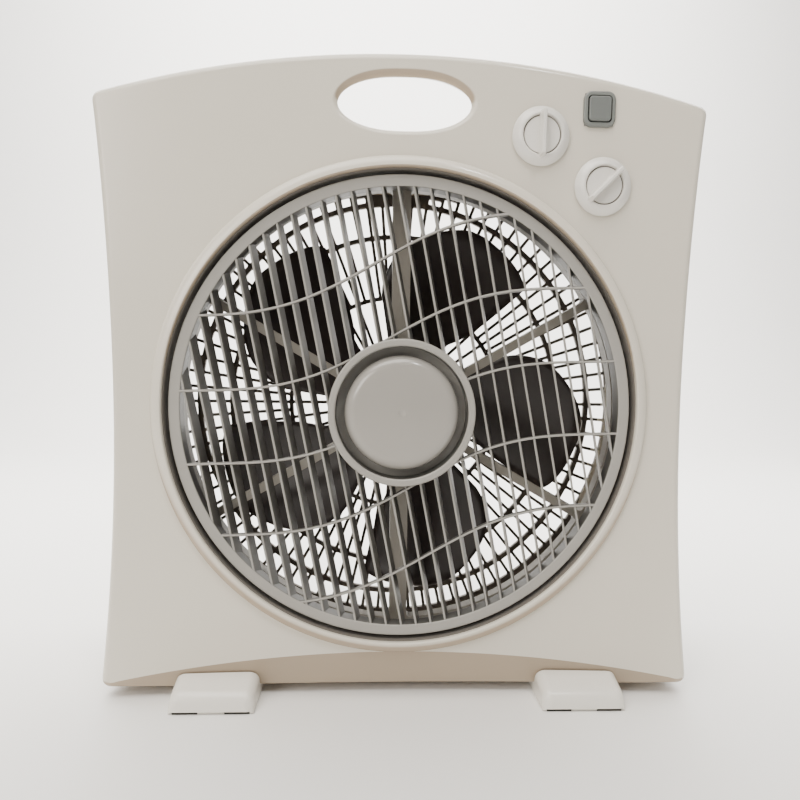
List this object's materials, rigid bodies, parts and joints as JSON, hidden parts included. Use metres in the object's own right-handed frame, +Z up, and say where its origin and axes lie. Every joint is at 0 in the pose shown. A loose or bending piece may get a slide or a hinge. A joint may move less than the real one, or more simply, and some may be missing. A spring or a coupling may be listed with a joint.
{
  "type": "box fan",
  "caption": "Desk-height box fan with an arched ivory plastic case, carry-handle slot, slatted rotary louvre over hidden blades, pointer knobs, a push button and two long feet",
  "frame": {"origin": "centre of the bounding box's footprint, on the floor under the rubber pads", "axes": "+Z up; -Y is the front, the way air is blown and the side with the knobs; +X to the right of a person facing the front"},
  "size_m": [0.4058, 0.1806, 0.4255],
  "materials": {
    "panel_ivory": "gloss moulded ABS, fine texture",
    "louver_grey": "moulded, satin",
    "cap_grey": "gloss domed cap",
    "blade_brown": "moulded, satin gloss",
    "guard_beige": "moulded, satin",
    "knob_white": "gloss moulded",
    "button_grey": "moulded, satin",
    "steel": "zinc plated",
    "cast_housing": "pressed and painted motor shell",
    "copper_winding": "enamelled copper wire",
    "bronze": "sintered bronze bush",
    "switch_white": "moulded",
    "lead_grey": "PVC jacket",
    "pad_rubber": "soft rubber strip"
  },
  "bodies": {
    "case": {"cord_gland": "pad_rubber", "foot_left": "knob_white", "foot_right": "knob_white", "foot_screw_left_front": "steel", "foot_screw_left_rear": "steel", "foot_screw_right_front": "steel", "foot_screw_right_rear": "steel", "front_shell": "panel_ivory", "louver_motor": "steel", "louver_motor_lead": "lead_grey", "louver_motor_screw_1": "steel", "louver_motor_screw_2": "steel", "louver_spider": "guard_beige", "louver_switch": "button_grey", "motor_bearing_front": "bronze", "motor_bearing_rear": "bronze", "motor_capacitor": "lead_grey", "motor_front_cap": "cast_housing", "motor_rear_cap": "cast_housing", "motor_screw_1": "steel", "motor_screw_2": "steel", "motor_screw_3": "steel", "motor_stator": "steel", "motor_winding_front": "copper_winding", "motor_winding_rear": "copper_winding", "pad_left_inner": "pad_rubber", "pad_left_outer": "pad_rubber", "pad_right_inner": "pad_rubber", "pad_right_outer": "pad_rubber", "rear_shell": "panel_ivory", "shell_screw_1": "steel", "shell_screw_2": "steel", "shell_screw_3": "steel", "shell_screw_4": "steel", "speed_screw_1": "steel", "speed_screw_2": "steel", "speed_switch": "switch_white", "spider_screw_1": "steel", "spider_screw_2": "steel", "spider_screw_3": "steel", "spider_screw_4": "steel", "timer_body": "switch_white", "timer_screw_1": "steel", "timer_screw_2": "steel"},
    "fan": {"fan_blade": "blade_brown", "blade_nut": "blade_brown", "motor_shaft": "steel", "motor_rotor": "steel"},
    "louver": {"louver_grille": "louver_grey", "louver_cap": "cap_grey", "louver_motor_shaft": "steel"},
    "speed": {"speed_knob": "knob_white", "speed_shaft": "switch_white"},
    "timer": {"timer_knob": "knob_white", "timer_shaft": "switch_white"},
    "button": {"louver_button": "button_grey"}
  },
  "joints": [
    {"name": "fan_spin", "type": "hinge", "parent": "case", "child": "fan", "pos_m": [0, 0, 0.198], "axis": [0, 1, 0], "continuous": true},
    {"name": "louver_spin", "type": "hinge", "parent": "case", "child": "louver", "pos_m": [0, 0, 0.198], "axis": [0, 1, 0], "continuous": true},
    {"name": "speed_turn", "type": "hinge", "parent": "case", "child": "speed", "pos_m": [0.08715, -0.0683, 0.3759], "axis": [0, 1, 0], "range_deg": [0, 135]},
    {"name": "timer_turn", "type": "hinge", "parent": "case", "child": "timer", "pos_m": [0.12845, -0.0683, 0.34551], "axis": [0, 1, 0], "range_deg": [-45, 255]},
    {"name": "button_press", "type": "slide", "parent": "case", "child": "button", "axis": [0, 1, 0], "range_m": [0, 0.0025], "stiffness_N_per_m": 300}
  ]
}
